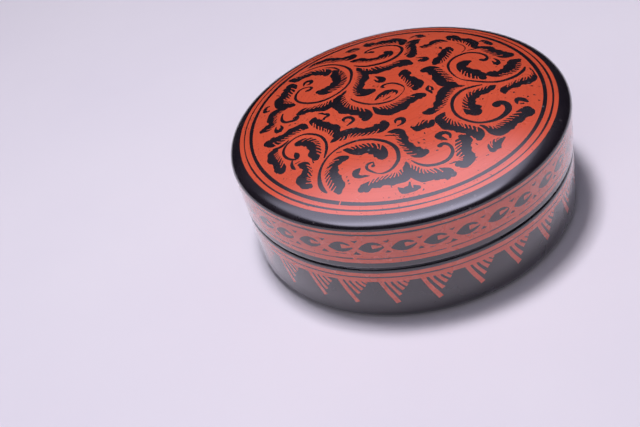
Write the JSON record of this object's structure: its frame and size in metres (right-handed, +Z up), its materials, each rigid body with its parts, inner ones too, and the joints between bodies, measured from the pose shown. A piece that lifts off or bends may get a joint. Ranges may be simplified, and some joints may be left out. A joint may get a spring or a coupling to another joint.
{
  "type": "incense box",
  "caption": "Low round lacquered incense box with a flush lift-off lid, a V groove at the seam and an inner lip; red and black scroll, eye-chain and sawtooth pattern.",
  "frame": {"origin": "middle of the underside, on the surface that the box stands on", "axes": "+Z up along the turning axis; -Y is the side of the lid's pattern shown at the top in the view from above, which the large view has in front"},
  "size_m": [0.08, 0.08, 0.0324],
  "materials": {
    "black_lacquer": "black lacquer on turned wood, polished to a soft gloss, with vermilion lines set flush",
    "vermilion_lacquer": "vermilion lacquer on turned wood, polished to a soft gloss, with black scrollwork set flush"
  },
  "bodies": {
    "root": {"body": "black_lacquer", "lid": "vermilion_lacquer"}
  },
  "joints": []
}
